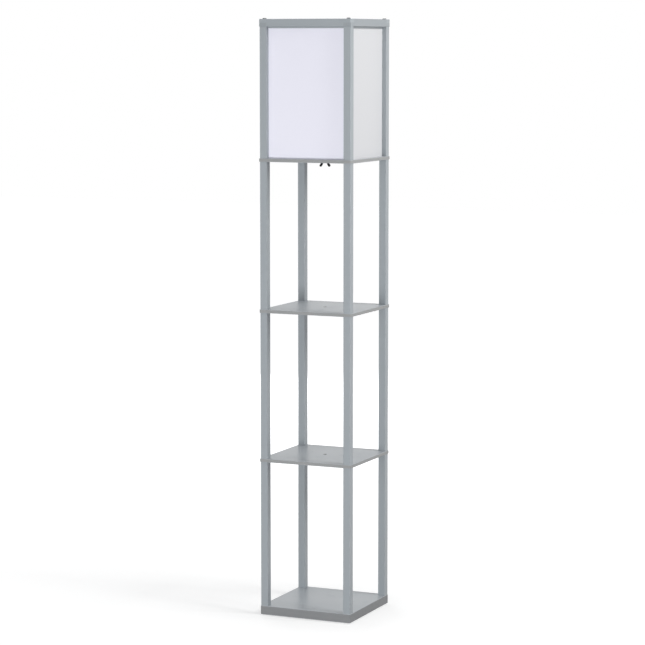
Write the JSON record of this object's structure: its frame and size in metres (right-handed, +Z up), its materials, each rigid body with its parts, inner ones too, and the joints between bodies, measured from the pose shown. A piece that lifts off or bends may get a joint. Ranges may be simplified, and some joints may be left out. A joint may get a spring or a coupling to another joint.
{
  "type": "shelf floor lamp",
  "caption": "Tall square floor lamp: grey posts carry open shelves over a thick base board, with a white-panelled light box open at the top.",
  "frame": {"origin": "centre of the footprint on the floor, under the foot pads", "axes": "+Z up along the posts; the front shade panel faces -Y; +X is to the right seen from the front"},
  "size_m": [0.265, 0.265, 1.6],
  "materials": {
    "grey_post": "satin grey paint on wood",
    "grey_board": "satin grey lacquer on board",
    "white_panel": "translucent white sheet",
    "felt": "pressed felt",
    "zinc_steel": "zinc plated",
    "dark_steel": "dark plated",
    "black_plastic": "black moulded plastic",
    "brass": "plain brass",
    "ceramic_white": "unglazed steatite",
    "nickel": "nickel plated shell",
    "bulb_insulator": "black insulator with a tin tip",
    "bulb_plastic": "white moulded plastic",
    "opal": "opal diffuser"
  },
  "bodies": {
    "frame": {"base_board": "grey_board", "base_screws": "zinc_steel", "centre_contact": "brass", "foot_pads": "felt", "holder_cap": "black_plastic", "holder_skirt": "black_plastic", "lamp_board": "grey_board", "lamp_board_dowel_screws": "zinc_steel", "lamp_post_front_left": "grey_post", "lamp_post_front_right": "grey_post", "lamp_post_rear_left": "grey_post", "lamp_post_rear_right": "grey_post", "lower_post_front_left": "grey_post", "lower_post_front_right": "grey_post", "lower_post_rear_left": "grey_post", "lower_post_rear_right": "grey_post", "lower_shelf": "grey_board", "lower_shelf_dowel_screws": "zinc_steel", "middle_post_front_left": "grey_post", "middle_post_front_right": "grey_post", "middle_post_rear_left": "grey_post", "middle_post_rear_right": "grey_post", "nipple": "zinc_steel", "screw_shell": "brass", "shade_panel_front": "white_panel", "shade_panel_left": "white_panel", "shade_panel_rear": "white_panel", "shade_panel_right": "white_panel", "terminal_block": "ceramic_white", "terminal_screws": "brass", "top_rail_front": "grey_post", "top_rail_left": "grey_post", "top_rail_rear": "grey_post", "top_rail_right": "grey_post", "top_screws": "dark_steel", "upper_post_front_left": "grey_post", "upper_post_front_right": "grey_post", "upper_post_rear_left": "grey_post", "upper_post_rear_right": "grey_post", "upper_shelf": "grey_board", "upper_shelf_dowel_screws": "zinc_steel"},
    "washer": {"washer": "black_plastic"},
    "wing_nut": {"wing_nut": "black_plastic"},
    "bulb_tip": {"bulb_tip": "bulb_insulator"},
    "bulb": {"bulb_cap": "nickel", "bulb_body": "bulb_plastic", "bulb_globe": "opal"}
  },
  "joints": [
    {"name": "washer_drop", "type": "slide", "parent": "frame", "child": "washer", "axis": [0, 0, 1], "range_m": [-0.003, 0]},
    {"name": "wing_nut_turn", "type": "hinge", "parent": "washer", "child": "wing_nut", "pos_m": [0, 0, 1.22], "axis": [0, 0, 1], "range_deg": [-1080, 0]},
    {"name": "bulb_lift", "type": "slide", "parent": "frame", "child": "bulb_tip", "axis": [0, 0, 1], "range_m": [0, 0.01815]},
    {"name": "bulb_turn", "type": "hinge", "parent": "bulb_tip", "child": "bulb", "pos_m": [0, 0, 1.28], "axis": [0, 0, 1], "range_deg": [0, 1800]}
  ],
  "couplings": [
    {"joint": "washer_drop", "follows": "wing_nut_turn", "m_per_rad": 0.00015915},
    {"joint": "bulb_lift", "follows": "bulb_turn", "m_per_rad": 0.00057757}
  ]
}
